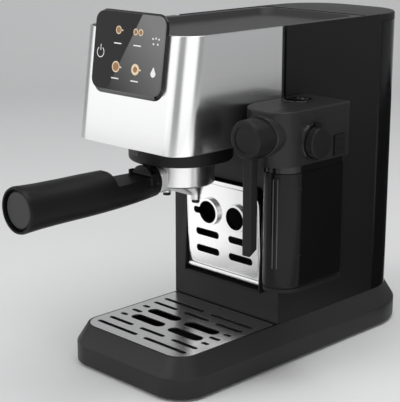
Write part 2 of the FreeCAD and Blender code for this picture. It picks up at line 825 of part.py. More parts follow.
def make_filter_basket():
    inner = ring_r - ring_wall
    wall = disc(inner - 0.4, 0, group_y, ring_top - 21, ring_top + 0.1 + basket_thick)
    flange = disc(ring_r - 0.6, 0, group_y, ring_top + 0.1, ring_top + 0.1 + basket_thick)
    basket = joined([wall, flange])
    basket = basket.cut(disc(inner - 0.4 - basket_thick, 0, group_y, ring_top - 20, ring_top + 3))
    for radius, count in ((8.0, 6), (17.0, 12)):
        for k in range(count):
            angle = 2 * math.pi * k / count
            x, y = radius * math.cos(angle), group_y + radius * math.sin(angle)
            basket = basket.cut(disc(0.8, x, y, ring_top - 22, ring_top - 19))
    return basket


def make_portafilter_handle():
    brow_y = handle_end_y + 2.0
    shape = [(handle_root_y, handle_root_r), (scoop_front + 12, handle_mid_r - 0.9),
             (scoop_front - 20, handle_mid_r), (brow_y + 22, handle_mid_r + 0.4), (brow_y, handle_end_r)]
    curve = Part.BSplineCurve()
    curve.interpolate([V(0, y, handle_z + r) for y, r in shape])
    end_top = V(0, handle_end_y, handle_z + handle_end_r - 0.6)
    end_axis = V(0, handle_end_y, handle_z)
    root_axis = V(0, handle_root_y, handle_z)
    last = V(0, brow_y, handle_z + handle_end_r)
    edges = [curve.toShape(), Part.LineSegment(last, end_top).toShape(),
             Part.LineSegment(end_top, end_axis).toShape(), Part.LineSegment(end_axis, root_axis).toShape(),
             Part.LineSegment(root_axis, V(0, handle_root_y, handle_z + handle_root_r)).toShape()]
    body = Part.Face(Part.Wire(edges)).revolve(root_axis, V(0, 1, 0), 360)
    body = Part.Solid(body.Shells[0]) if body.ShapeType != "Solid" else body
    brink = handle_z + handle_mid_r - 0.6
    lead_y = scoop_front - 9
    scoop = side_slab([(scoop_rear, scoop_z, 0), (scoop_rear, scoop_z + 30, 0), (lead_y, scoop_z + 30, 0),
                       (lead_y, brink + 0.8, 0), (scoop_front - 1, brink, 3.0),
                       (scoop_front, scoop_z, 2.0)], -25, 25)
    root_flat = block(-20, 20, scoop_rear - 1, handle_root_y + 1, skirt_bottom - 1.2, skirt_bottom + 10)
    body = body.cut(scoop).cut(root_flat)
    ear_y0, ear_y1 = clip_y - 2.7, clip_y + 2.7
    parts = [body, block(-ear_half, ear_half, ear_y0, ear_y1, handle_z - 3, scoop_z)]
    for side in (-1, 1):
        x0, x1 = sorted((side * (ear_half - 2.0), side * ear_half))
        parts.append(block(x0, x1, ear_y0, ear_y1, handle_z - 1, clip_z + 2.2))
    body = joined(parts)
    body = body.cut(rod(1.45, (-20, clip_y, clip_z), (1, 0, 0), 40))
    recess_r = handle_end_r - 0.6 - end_wall
    body = body.cut(rod(recess_r, (0, handle_end_y - 1, handle_z), (0, 1, 0), cap_deep + 1))
    body = body.cut(rod(6.8, (0, handle_end_y, handle_z), (0, 1, 0), 11))
    return body.cut(rod(bolt_r + 0.1, (0, handle_end_y, handle_z), (0, 1, 0), 160))


def make_basket_clip():
    tab = rod(clip_r, (0, clip_y - 1, clip_z - clip_drop), (0, 1, 0), 2.0)
    tab = tab.cut(block(-20, 20, clip_y - 5, clip_y + 5, clip_z - 30, clip_z - 0.9))
    return joined([tab, rod(1.4, (-ear_half + 0.2, clip_y, clip_z), (1, 0, 0), 2 * ear_half - 0.4)])


def make_handle_cap():
    y = handle_end_y + cap_deep - 0.2
    cap = rod(handle_end_r - 0.6 - end_wall - cap_gap, (0, y - 2.2, handle_z), (0, 1, 0), 2.2)
    front = [e for e in cap.Edges if e.BoundBox.YMax < y - 2.19]
    return cap.makeChamfer(0.8, front)


def make_handle_bolt():
    y = handle_end_y + 11
    end = handle_root_y + 5
    head = rod(6.4, (0, y - 5, handle_z), (0, 1, 0), 5)
    return joined([head, rod(bolt_r, (0, y, handle_z), (0, 1, 0), end - y)])


# Water tank

def tank_plan(gap):
    half = column_half - gap
    front_r = max(3 - gap, 0)
    return oblong(-half, half, tank_front + gap, tank_rear - gap, front_r, tank_corner_r - gap)


def make_water_tank():
    floor_low, floor_high = deck_z + 10.5, deck_z + 13.5
    body = plan_slab(tank_plan(0), deck_z + sheet_gap, tank_top)
    body = body.cut(plan_slab(tank_plan(tank_wall), floor_high, tank_top + 1))
    body = body.cut(plan_slab(tank_plan(tank_wall), deck_z, floor_low))
    return body.cut(disc(4.3, valve_x, valve_y, floor_low - 1, floor_high + 1))


def make_tank_valve():
    return joined([disc(valve_r, valve_x, valve_y, deck_z + 4, deck_z + 10.3),
                   disc(4.0, valve_x, valve_y, deck_z + 10, deck_z + 19),
                   disc(7.0, valve_x, valve_y, deck_z + 13.7, deck_z + 19)])


def make_tank_lid():
    low = tank_top + sheet_gap
    half = inner_half - 0.3
    cover = joined([plan_slab(tank_plan(0), low, top_z),
                    block(-half, half, lid_front_y, tank_front + 3.2, low, top_z)])
    rear_top = [e for e in cover.Edges
                if e.BoundBox.ZMin > top_z - 0.01 and e.CenterOfMass.y > tank_front + 12]
    cover = cover.makeFillet(1.5, rear_top)
    lip = plan_slab(tank_plan(tank_wall + 0.4), low - 4, low)
    lip = lip.cut(plan_slab(tank_plan(tank_wall + 2.4), low - 5, low + 1))
    return joined([cover, lip])


# Milk unit

def milk_plan(gap):
    return [(milk_inner_x + gap, milk_front + gap, 30 - gap),
            (milk_outer_x - gap, milk_front + gap, 22 - gap),
            (milk_outer_x - gap, milk_rear - gap, 6 - gap), (milk_inner_x + gap, milk_rear - gap, 3 - gap)]


def jug_plan(gap):
    inner, outer = jug_inner_x + gap, jug_outer_x - gap
    front, rear = jug_front + gap, jug_rear - gap
    cut = 0.45 * gap
    return [(inner, jug_front + 28.8 + cut, 18 - gap), (jug_inner_x + 26.2 + cut, front, 10 - gap),
            (outer, front, 20.5 - gap), (outer, rear, 8 - gap), (inner, rear, 5 - gap * 0.5)]


def make_milk_lid():
    outer = plan_slab(milk_plan(0), milk_low, milk_top)
    top_edges = [e for e in outer.Edges if e.BoundBox.ZMin > milk_top - 0.01]
    outer = outer.makeFillet(1.6, top_edges)
    shell = outer.cut(plan_slab(milk_plan(milk_wall), milk_low - 1, milk_top - 2.6))
    knob_well = rod(knob_ring_r + 2, (milk_outer_x - 8.5, knob_y, knob_z), (1, 0, 0), 6.3)
    cap_well = disc(cap_r + 2.4, cap_x, cap_y, milk_top - 8, milk_top - 1)
    boss_r = hub_r + 1.5
    boss = rod(boss_r, (hub_x, milk_front + 18, hub_z), (0, -1, 0), 30)
    boss = boss.common(plan_slab(milk_plan(-boss_proud), milk_low, milk_top))
    keep = plan_slab(milk_plan(0.6), milk_low, milk_top)
    shell = joined([shell, knob_well.common(keep), cap_well, boss])
    shell = shell.cut(rod(knob_ring_r - 0.3, (milk_outer_x - 6, knob_y, knob_z), (1, 0, 0), 10))
    shell = shell.cut(rod(2.6, (milk_outer_x - 12, knob_y, knob_z), (1, 0, 0), 10))
    shell = shell.cut(disc(cap_r + 0.4, cap_x, cap_y, milk_top - 6, milk_top + 1))
    shell = shell.cut(disc(3, cap_x, cap_y, milk_top - 9, milk_top))
    shell = shell.cut(rod(hub_r - 1.0, (hub_x, milk_front + 22, hub_z), (0, -1, 0), 14.5))
    shell = shell.cut(rod(hub_r + sheet_gap, (hub_x, hub_seat, hub_z), (0, -1, 0), 20))
    shell = shell.cut(rod(5.05, (hub_x, milk_front + 12, hub_z), (0, -1, 0), 20))
    dock_hole = side_slab([(dock_y - 11, dock_z - 22, 3), (dock_y + 11, dock_z - 22, 3),
                           (dock_y + 11, dock_z + 18, 3), (dock_y - 11, dock_z + 18, 3)],
                          milk_inner_x - 1, milk_inner_x + milk_wall + 0.5)
    shell = shell.cut(dock_hole)
    reach_y, reach_z = latch_half + sheet_gap, latch_high + sheet_gap
    button = block(milk_outer_x - 4, milk_outer_x + 1, latch_y - reach_y, latch_y + reach_y,
                   latch_z - reach_z, latch_z + reach_z)
    return shell.cut(button)


def make_latch_button():
    face = block(milk_outer_x - 2.0, milk_outer_x + 1.6, latch_y - latch_half, latch_y + latch_half,
                 latch_z - latch_high, latch_z + latch_high)
    ribs = []
    for k in (-2, -1, 0, 1, 2):
        z = latch_z + k * latch_high / 3
        ribs.append(block(milk_outer_x + 1.5, milk_outer_x + 2.3, latch_y - latch_half + 1,
                          latch_y + latch_half - 1, z - 0.6, z + 0.6))
    stem = block(milk_outer_x - 8.6, milk_outer_x - 2.0, latch_y - 3, latch_y + 3, latch_z - 4, latch_z + 4)
    return joined([face, stem] + ribs)


def make_milk_valve_block():
    floor = plan_slab(milk_plan(milk_wall), milk_low, milk_low + milk_floor)
    well_half = knob_ring_r + 2.5
    floor = floor.cut(block(milk_outer_x - 9, milk_outer_x, knob_y - well_half, knob_y + well_half,
                            milk_low - 1, milk_low + 3))
    core_x, core_wide, core_front, core_rear = milk_inner_x + 20.1, 21.0, -64.0, -4.0
    core = block(core_x, core_x + core_wide, core_front, core_rear, milk_low + milk_floor - 0.4,
                 milk_top - 9.8)
    arm = block(milk_inner_x + 3.1, core_x + 0.5, dock_y - 6, dock_y + 6, dock_z - 7, dock_z + 7)
    body = joined([floor, core, arm])
    body = body.cut(rod(nipple_r + 0.3, (milk_inner_x, dock_y, dock_z), (1, 0, 0), nipple_reach))
    return body.cut(disc(3.1, tube_x, tube_y, milk_low - 1, tube_top + 1.2))


def make_suction_tube():
    tube = disc(3.0, tube_x, tube_y, jug_bottom + 7, tube_top)
    return tube.cut(disc(1.8, tube_x, tube_y, jug_bottom, tube_top + 1))


def make_knob_ring():
    x0 = milk_outer_x - 5.8
    return rod(knob_ring_r - 0.5, (x0, knob_y, knob_z), (1, 0, 0), 6.4).cut(
        rod(knob_ring_r - 1.9, (x0 - 1, knob_y, knob_z), (1, 0, 0), 9))


def make_froth_knob():
    x0 = milk_outer_x - 5.7
    face_x = milk_outer_x + 8.0
    body = rod(knob_r, (x0, knob_y, knob_z), (1, 0, 0), face_x - x0)
    rim = [e for e in body.Edges if abs(e.CenterOfMass.x - face_x) < 0.01]
    body = body.makeFillet(1.5, rim)
    pointer = side_slab([(knob_y - 2.6, knob_z + 8, 0), (knob_y + 2.6, knob_z + 8, 0),
                         (knob_y + 2.0, knob_z + 17.5, 1), (knob_y - 2.0, knob_z + 17.5, 1)],
                        milk_outer_x + 1.6, face_x)
    stem = rod(2.5, (milk_outer_x - 11.5, knob_y, knob_z), (1, 0, 0), 7)
    return joined([body, pointer, stem])


def make_milk_cap():
    low = milk_top - 5.8
    cap = disc(cap_r, cap_x, cap_y, low, milk_top + 1.0)
    rim = [e for e in cap.Edges if abs(e.CenterOfMass.z - milk_top - 1.0) < 0.01]
    cap = cap.makeFillet(0.8, rim)
    cap = cap.cut(disc(cap_r - 2.5, cap_x, cap_y, milk_top - 1.6, milk_top + 2))
    grip = block(cap_x - cap_r + 1.5, cap_x + cap_r - 1.5, cap_y - 1.5, cap_y + 1.5,
                 milk_top - 2, milk_top + 0.6)
    return joined([cap, grip])


def make_milk_spout():
    rear_y = hub_seat - sheet_gap
    hub = rod(hub_r, (hub_x, rear_y, hub_z), (0, -1, 0), rear_y - hub_front)
    rim = [e for e in hub.Edges if abs(e.CenterOfMass.y - hub_front) < 0.01]
    hub = hub.makeFillet(2.0, rim)
    hub = hub.cut(rod(hub_r - 5.0, (hub_x, hub_front - 1, hub_z), (0, 1, 0), 1.8))
    half = spout_tube / 2
    front_y, back_y = spout_tube_y - half, spout_tube_y + half
    tube = plan_slab(oblong(hub_x - half, hub_x + half, front_y, back_y, 1.5, 1.5), spout_low, hub_z)
    bevel = side_slab([(front_y - 1, spout_low - 1, 0), (back_y + 1, spout_low - 1, 0),
                       (back_y + 1, spout_low + 7.2, 0), (front_y - 1, spout_low, 0)],
                      hub_x - 10, hub_x + 10)
    stem = rod(5.0, (hub_x, rear_y + 12, hub_z), (0, -1, 0), 12.5)
    spout = joined([hub, tube, stem]).cut(bevel)
    return spout.cut(disc(2.8, hub_x, spout_tube_y, spout_low - 1, spout_low + 40))


def make_lid_seal():
    gap = collar_inset + jug_wall + 0.3
    return plan_slab(jug_plan(gap), milk_low - 2.4, milk_low).cut(
        plan_slab(jug_plan(gap + 3), milk_low - 3, milk_low + 1))


def make_milk_container():
    body = plan_slab(jug_plan(0), jug_bottom, jug_top)
    return body.cut(plan_slab(jug_plan(jug_wall), jug_bottom + 3, jug_top + 1))


def make_container_collar():
    body = plan_slab(jug_plan(collar_inset), jug_top + sheet_gap, milk_low - sheet_gap)
    return body.cut(plan_slab(jug_plan(collar_inset + jug_wall), jug_top, milk_low + 1))


def make_container_foot():
    return joined([plan_slab(jug_plan(1.6), jug_bottom - 2, jug_bottom - sheet_gap),
                   plan_slab(jug_plan(0.4), jug_bottom - 5.5, jug_bottom - 2)])


makers = {
    "base_shell": make_base_shell, "base_plate": make_base_plate, "rubber_feet": make_rubber_feet,
    "base_screws": make_base_screws, "cord_gland": make_cord_gland, "drip_tray": make_drip_tray,
    "drip_grid": make_drip_grid, "column_front": make_column_front, "stand_bracket": make_stand_bracket,
    "stand_pin": make_stand_pin, "cup_stand": make_cup_stand, "side_panel_left": make_side_panel_left,
    "side_panel_right": make_side_panel_right, "back_cover": make_back_cover, "chassis": make_chassis,
    "head_cover": make_head_cover, "head_frame": make_head_frame, "head_floor": make_head_floor,
    "top_cover": make_top_cover, "panel_housing": make_panel_housing, "panel_glass": make_panel_glass,
    "panel_board": make_panel_board, "group_collar": make_group_collar, "group_head": make_group_head,
    "group_gasket": make_group_gasket, "shower_screen": make_shower_screen,
    "shower_screw": make_shower_screw, "boiler": make_boiler, "pump": make_pump,
    "pump_mounts": make_pump_mounts, "suction_hose": make_suction_hose, "flow_meter": make_flow_meter,
    "pressure_hose": make_pressure_hose, "steam_valve": make_steam_valve, "steam_hose": make_steam_hose,
    "control_board": make_control_board, "tank_seat": make_tank_seat, "milk_dock": make_milk_dock,
    "filter_ring": make_filter_ring, "portafilter_spout": make_portafilter_spout,
    "filter_basket": make_filter_basket, "portafilter_handle": make_portafilter_handle,
    "basket_clip": make_basket_clip, "handle_cap": make_handle_cap, "handle_bolt": make_handle_bolt,
    "water_tank": make_water_tank, "tank_valve": make_tank_valve, "tank_lid": make_tank_lid,
    "milk_lid": make_milk_lid, "latch_button": make_latch_button,
    "milk_valve_block": make_milk_valve_block, "suction_tube": make_suction_tube,
    "knob_ring": make_knob_ring, "froth_knob": make_froth_knob, "milk_cap": make_milk_cap,
    "milk_spout": make_milk_spout, "lid_seal": make_lid_seal, "milk_container": make_milk_container,
    "container_collar": make_container_collar, "container_foot": make_container_foot,
}

for node, make in makers.items():
    piece = make()
    print(node, piece.isValid(), len(piece.Solids), round(piece.Volume / 1000, 2))
    save(node, piece)
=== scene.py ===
import json
import math

import bmesh
import bpy
import numpy as np
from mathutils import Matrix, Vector


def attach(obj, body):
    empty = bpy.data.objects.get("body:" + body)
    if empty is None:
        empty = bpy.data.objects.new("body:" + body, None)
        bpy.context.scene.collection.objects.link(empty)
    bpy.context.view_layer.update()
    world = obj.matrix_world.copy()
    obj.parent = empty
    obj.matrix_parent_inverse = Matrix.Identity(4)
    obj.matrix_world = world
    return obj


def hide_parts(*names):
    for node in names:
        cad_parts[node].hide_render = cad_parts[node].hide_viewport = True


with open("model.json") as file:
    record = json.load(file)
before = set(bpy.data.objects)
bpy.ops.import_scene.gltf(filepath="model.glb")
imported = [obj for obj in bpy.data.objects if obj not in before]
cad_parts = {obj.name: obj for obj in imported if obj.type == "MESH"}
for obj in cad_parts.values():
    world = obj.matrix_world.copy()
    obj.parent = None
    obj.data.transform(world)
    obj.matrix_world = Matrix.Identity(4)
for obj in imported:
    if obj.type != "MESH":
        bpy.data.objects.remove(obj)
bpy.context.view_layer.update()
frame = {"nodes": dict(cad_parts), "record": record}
nodes = frame["nodes"]
bodyOf = {node: body for body, members in frame["record"]["behaviour"]["bodies"].items() for node in members}
slotOf = {part["node"]: part["material_slot"] for part in frame["record"]["subparts"]}
mm = 0.001
lift = 2.5                                       # the feet raise everything; heights below leave it out
print("frame loaded:", len(nodes), "nodes")


class Wire:                                      # a socket with Python's own operators for its maths

    def __init__(self, tree, socket):
        self.tree = tree
        self.socket = socket

    def node(self, kind, settings=None, values=None, out=0):
        made = self.tree.nodes.new(kind)
        for key, value in (settings or {}).items():
            setattr(made, key, value)
        for key, value in (values or {}).items():
            if isinstance(value, Wire):
                self.tree.links.new(value.socket, made.inputs[key])
            else:
                made.inputs[key].default_value = value
        return Wire(self.tree, made.outputs[out])

    def math(self, operation, *others):
        return self.node("ShaderNodeMath", {"operation": operation}, dict(enumerate(others)))

    def __add__(self, other):
        return self.math("ADD", self, other)

    def __sub__(self, other):
        return self.math("SUBTRACT", self, other)

    def __rsub__(self, other):
        return self.math("SUBTRACT", other, self)

    def __mul__(self, other):
        return self.math("MULTIPLY", self, other)

    def __truediv__(self, other):
        return self.math("DIVIDE", self, other)

    __radd__ = __add__
    __rmul__ = __mul__

    def clamp(self):
        return self.node("ShaderNodeClamp", {}, {0: self})

    def between(self, low, high):                # 0 at low, 1 at high, eased
        return self.node("ShaderNodeMapRange", {"interpolation_type": "SMOOTHSTEP"},
                         {"Value": self, "From Min": low, "From Max": high})

    def part(self, k):                           # x, y or z for 0, 1 or 2
        return self.node("ShaderNodeSeparateXYZ", {}, {0: self}, k)

    def mix(self, first, second):                # colours, with self as the share of the second
        return self.node("ShaderNodeMix", {"data_type": "RGBA"}, {0: self, 6: first, 7: second}, 2)


def grey(level, warm=0.0):
    return (level * (1 + warm), level, level * (1 - warm), 1)


class Finish:                                    # one Principled material; steady sockets are set once

    def __init__(self, name, **steady):
        self.material = bpy.data.materials.new(name)
        self.material.use_nodes = True
        tree = self.material.node_tree
        self.shader = tree.nodes["Principled BSDF"]
        self.wire = Wire(tree, None)
        self.place = self.wire.node("ShaderNodeTexCoord", out=3)       # Object coordinates
        for key, value in steady.items():
            self.shader.inputs[key.replace("_", " ")].default_value = value

    def noise(self, scale, detail=2.0, stretch=(1, 1, 1), rough=0.5):
        where = self.wire.node("ShaderNodeMapping", {}, {"Vector": self.place, "Scale": stretch})
        return self.wire.node("ShaderNodeTexNoise", {},
                              {"Vector": where, "Scale": scale, "Detail": detail, "Roughness": rough})

    def put(self, **varying):
        for key, value in varying.items():
            self.shader.id_data.links.new(value.socket, self.shader.inputs[key.replace("_", " ")])

    def relief(self, height, depth, strength=1.0):
        self.put(Normal=self.wire.node("ShaderNodeBump", {}, {"Height": height, "Distance": depth,
                                                              "Strength": strength}))


def mouldedPlastic(name, level, rough, grain=0.0, specular=0.32):
    # cloudy black or white with a fine moulded grain, whose depth is in metres
    finish = Finish(name, Specular_IOR_Level=specular)
    cloud = finish.noise(14, 3)
    fine = finish.noise(2600, 2)
    finish.put(Base_Color=cloud.mix(grey(level * 0.88), grey(level * 1.14)),
               Roughness=(rough - 0.05) + cloud * 0.08 + fine * 0.03)
    if grain:
        finish.relief(fine, grain)
    return finish.material


def brushedSteel(name, level, rough, stretch, streak):
    # fine lines along the axis with the smallest stretch, over broad clouds
    finish = Finish(name, Metallic=1.0)
    lines = finish.noise(1.0, 4, stretch, 0.62)
    cloud = finish.noise(9, 2)
    finish.put(Base_Color=(lines * 0.5 + cloud * 0.5).mix(grey(level * (1 - streak), 0.004),
                                                          grey(level * (1 + streak), -0.002)),
               Roughness=(rough - 0.06) + lines * 0.12)
    finish.relief(lines, 0.00001, 0.2)
    return finish.material


def polishedSteel(name, level, rough):
    finish = Finish(name, Metallic=1.0)
    cloud = finish.noise(22, 3)
    smear = finish.noise(90, 3)
    finish.put(Base_Color=cloud.mix(grey(level * 0.94), grey(level * 1.03)),
               Roughness=rough + smear * 0.06)
    return finish.material


def smokedPlastic(name, level, alpha):
    # nearly black, so that little of the inside shows through
    finish = Finish(name, Specular_IOR_Level=0.16, Alpha=alpha)
    cloud = finish.noise(12, 2)
    finish.put(Base_Color=cloud.mix(grey(level * 0.8), grey(level * 1.2)),
               Roughness=0.12 + cloud * 0.08)
    return finish.material


def softRubber(name, level):
    finish = Finish(name, Specular_IOR_Level=0.25)
    fine = finish.noise(1800, 3)
    finish.put(Base_Color=fine.mix(grey(level * 0.8), grey(level * 1.3)), Roughness=0.62 + fine * 0.2)
    finish.relief(fine, 0.00006)
    return finish.material


def castMetal(name, colour, rough):
    finish = Finish(name, Metallic=1.0)
    fine = finish.noise(900, 4)
    cloud = finish.noise(30, 2)
    darker = tuple(c * 0.8 for c in colour) + (1,)
    finish.put(Base_Color=cloud.mix(darker, (*colour, 1)), Roughness=rough + fine * 0.2)
    finish.relief(fine, 0.00008)
    return finish.material


def circuitBoard(name):
    finish = Finish(name, Specular_IOR_Level=0.5)
    tracks = finish.wire.node("ShaderNodeTexBrick", {}, {
        "Vector": finish.place, "Scale": 260.0, "Color1": (0.01, 0.1, 0.04, 1),
        "Color2": (0.012, 0.13, 0.05, 1), "Mortar": (0.02, 0.22, 0.09, 1)})
    patches = finish.noise(120, 1).between(0.45, 0.5)
    finish.put(Base_Color=patches.mix(tracks, (0.014, 0.09, 0.04, 1)), Roughness=0.3 + patches * 0.2)
    return finish.material


coarseGrain, fineGrain = 0.00004, 0.00003        # metres
upright = (900, 900, 60)                         # noise stretch of steel that is brushed up and down
crosswise = (5, 5, 2600)                         # and of steel that is brushed level all round

finishes = {
    "steel_brushed": brushedSteel("headSteel", 0.74, 0.24, crosswise, 0.03),
    "steel_polished": polishedSteel("polishedSteel", 0.76, 0.08),
    "steel_plain": brushedSteel("plainSteel", 0.82, 0.22, upright, 0.04),
    "black_plastic": mouldedPlastic("satinBlack", 0.009, 0.42, coarseGrain, 0.18),
    "grey_plastic": mouldedPlastic("innerGrey", 0.04, 0.5, coarseGrain),
    "black_gloss": mouldedPlastic("glossBlack", 0.006, 0.16, specular=0.36),
    "panel_glass": mouldedPlastic("panelBack", 0.01, 0.1, specular=0.25),
    "tank_clear": smokedPlastic("smokedClear", 0.006, 0.95),
    "black_rubber": softRubber("blackRubber", 0.014),
    "clear_hose": softRubber("siliconeHose", 0.5),
    "aluminium_cast": castMetal("castAluminium", (0.56, 0.57, 0.58), 0.35),
    "brass_plain": castMetal("plainBrass", (0.7, 0.52, 0.25), 0.25),
    "white_plastic": mouldedPlastic("whiteNylon", 0.62, 0.42, fineGrain),
    "green_board": circuitBoard("circuitBoard"),
}
print("finishes made:", len(finishes))


def gridQuads(rows, columns, closeRows, closeColumns):
    # quad (i, j) joins points (i, j), (i, j + 1), (i + 1, j + 1) and (i + 1, j)
    i, j = np.meshgrid(np.arange(rows - (not closeRows)), np.arange(columns - (not closeColumns)),
                       indexing="ij")
    nextI, nextJ = (i + 1) % rows, (j + 1) % columns
    return np.stack([i * columns + j, i * columns + nextJ, nextI * columns + nextJ, nextI * columns + j],
                    -1).reshape(-1, 4)


def makePiece(name, grid, body, slot, replaced=(), closeRows=False, closeColumns=True, finish=None):
    # a grid of points in millimetres becomes a closed mesh, with flat caps on its open ends
    rows, columns = grid.shape[:2]
    faces = [tuple(q) for q in gridQuads(rows, columns, closeRows, closeColumns).tolist()]
    if not closeRows:
        faces.append(tuple(range(columns - 1, -1, -1)))
        faces.append(tuple(range((rows - 1) * columns, rows * columns)))
    if not closeColumns:
        faces.append(tuple(range(0, rows * columns, columns)))
        faces.append(tuple(range(rows * columns - 1, -1, -columns)))
    mesh = bpy.data.meshes.new(name)
    mesh.from_pydata(((grid.reshape(-1, 3) + (0, 0, lift)) * mm).tolist(), [], faces)
    finishMesh(name, mesh, body, slot, replaced, finish=finish)


def islands(name, grids, body, slot, replaced=(), bevel=0.0, finish=None, limit=34):
    # several closed grids of points, each with flat end caps, kept in one mesh
    points, faces, start = [], [], 0
    for grid in grids:
        rows, columns = grid.shape[:2]
        points.append(grid.reshape(-1, 3) + (0, 0, lift))
        faces += [tuple(q) for q in (gridQuads(rows, columns, False, True) + start).tolist()]
        faces.append(tuple(range(start + columns - 1, start - 1, -1)))
        faces.append(tuple(range(start + (rows - 1) * columns, start + rows * columns)))
        start += rows * columns
    mesh = bpy.data.meshes.new(name)
    mesh.from_pydata((np.concatenate(points) * mm).tolist(), [], faces)
    finishMesh(name, mesh, body, slot, replaced, bevel, finish, limit)


def finishMesh(name, mesh, body, slot, replaced, bevel=0.0, finish=None, limit=34, segments=3):
    # doubles are merged, faces turned outwards where the volume is negative, and edges over the
    # limit kept sharp or bevelled; then the piece gets its finish (the slot's own unless one is given) and
    # its body
    work = bmesh.new()
    work.from_mesh(mesh)
    bmesh.ops.remove_doubles(work, verts=work.verts, dist=2e-6)
    bmesh.ops.dissolve_degenerate(work, edges=work.edges, dist=1e-7)
    if work.calc_volume(signed=True) < 0:
        bmesh.ops.reverse_faces(work, faces=work.faces)
    work.to_mesh(mesh)
    work.free()
    mesh.shade_smooth()
    mesh.set_sharp_from_angle(angle=math.radians(limit))
    piece = bpy.data.objects.new(name, mesh)
    bpy.context.scene.collection.objects.link(piece)
    mesh.materials.append(finish or finishes[slot])
    if bevel:
        soft = piece.modifiers.new("softEdges", "BEVEL")
        soft.width = bevel * mm
        soft.segments = segments
        soft.limit_method = "ANGLE"
        soft.angle_limit = math.radians(limit)
        soft.harden_normals = True
        soft.use_clamp_overlap = True
    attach(piece, body)
    if replaced:
        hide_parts(*replaced)


def roundLoop(corners, steps=8):
    # corner (u, v, r) becomes an arc about c = p + r / sin(half angle) along the bisector; returns
    # the points and, at each, the unit direction towards c, along which the loop is taken in
    corners = np.array(corners, float)
    p, r = corners[:, :2], np.maximum(corners[:, 2:3], 0.01)
    a, b = np.roll(p, 1, 0) - p, np.roll(p, -1, 0) - p
    a /= np.linalg.norm(a, axis=1, keepdims=True)
    b /= np.linalg.norm(b, axis=1, keepdims=True)
    half = np.arccos(np.clip((a * b).sum(1, keepdims=True), -1, 1)) / 2
    bisector = (a + b) / np.linalg.norm(a + b, axis=1, keepdims=True)
    centre = p + bisector * r / np.sin(half)
    start, end = p + a * r / np.tan(half) - centre, p + b * r / np.tan(half) - centre
    first = np.arctan2(start[:, 1], start[:, 0])
    turn = (np.arctan2(end[:, 1], end[:, 0]) - first + np.pi) % (2 * np.pi) - np.pi
    angle = first[:, None] + turn[:, None] * np.linspace(0, 1, steps + 1)[None]
    out = np.stack([np.cos(angle), np.sin(angle)], -1)
    loop = centre[:, None] + r[:, None] * out
    return loop.reshape(-1, 2), -out.reshape(-1, 2)


def roundPath(points, steps=4):
    # open path through (u, v, r): the inner corners become arcs, as in roundLoop
    points = [tuple(q) if len(q) == 3 else (*q, 0.0) for q in points]
    loop, _ = roundLoop(points, steps)
    rows = loop.reshape(len(points), steps + 1, 2)
    inner = [rows[k] if points[k][2] > 0 else rows[k][:1] for k in range(1, len(points) - 1)]
    return np.concatenate([[points[0][:2]], *inner, [points[-1][:2]]])


def box(x0, x1, y0, y1, front, rear):            # corners with a radius for the front and the rear pair
    return [(x0, y0, front), (x1, y0, front), (x1, y1, rear), (x0, y1, rear)]


def carry(profile, loop, inward):
    # point (i, j) = loop point j, moved inwards by the profile's first value, at its second as height
    profile = np.asarray(profile, float)
    flat = loop[None] + profile[:, 0][:, None, None] * inward[None]
    height = np.broadcast_to(profile[:, 1][:, None, None], flat.shape[:2] + (1,))
    return np.concatenate([flat, height], -1)


def atHeight(loop, height):                      # one outline as a row of the grid
    return np.concatenate([loop, np.full((len(loop), 1), float(height))], -1)[None]


def spin(profile, steps=64):
    # profile (r, h) turned about the h axis: (r cos t, r sin t, h)
    profile = np.asarray(profile, float)
    t = np.linspace(0, 2 * np.pi, steps, endpoint=False)
    r, h = profile[:, 0][:, None], profile[:, 1][:, None]
    return np.stack([r * np.cos(t), r * np.sin(t), np.broadcast_to(h, (len(profile), steps))], -1)


def arcBand(inner, outer, low, high, start, end, steps):
    # rectangle in (r, height) turned about the z axis between two angles in degrees
    t = np.radians(np.linspace(start, end, steps))
    section = np.array([(inner, low), (outer, low), (outer, high), (inner, high)])
    return np.stack([section[:, 0] * np.cos(t)[:, None], section[:, 0] * np.sin(t)[:, None],
                     np.broadcast_to(section[:, 1], (steps, 4))], -1)


def stand(points, origin, u=(1, 0, 0), v=(0, 1, 0), w=(0, 0, 1)):
    # (a, b, c) becomes origin + a u + b v + c w
    return np.asarray(origin, float) + points @ np.array([u, v, w], float)


def dressed(node, bevel, finish):
    # merged copy of a CAD solid, with faces less than 1 degree apart joined, then finished
    mesh = nodes[node].data.copy()
    mesh.materials.clear()
    work = bmesh.new()
    work.from_mesh(mesh)
    bmesh.ops.remove_doubles(work, verts=work.verts, dist=2e-6)
    bmesh.ops.dissolve_limit(work, angle_limit=math.radians(1), verts=work.verts, edges=work.edges)
    work.to_mesh(mesh)
    work.free()
    finishMesh(node + "_look", mesh, bodyOf[node], slotOf[node], (node,), bevel, finish,
               limit=30, segments=2)


view = {"place": (0.7549, -0.8102, 0.4319), "pitch": 75.146, "heading": 45.14, "lens": 107.19}
turn = math.radians(view["heading"])

camera = bpy.data.objects.new("camera", bpy.data.cameras.new("camera"))
bpy.context.scene.collection.objects.link(camera)
camera.location = view["place"]
camera.rotation_euler = (math.radians(view["pitch"]), 0, turn)
camera.data.lens = view["lens"]
camera.data.sensor_width = 36
camera.data.clip_start = 0.01
bpy.context.scene.camera = camera


def onFloor(across, ahead, height):              # metres to the camera's right, away from it, and up
    return (across * math.cos(turn) - ahead * math.sin(turn),
            across * math.sin(turn) + ahead * math.cos(turn), height)


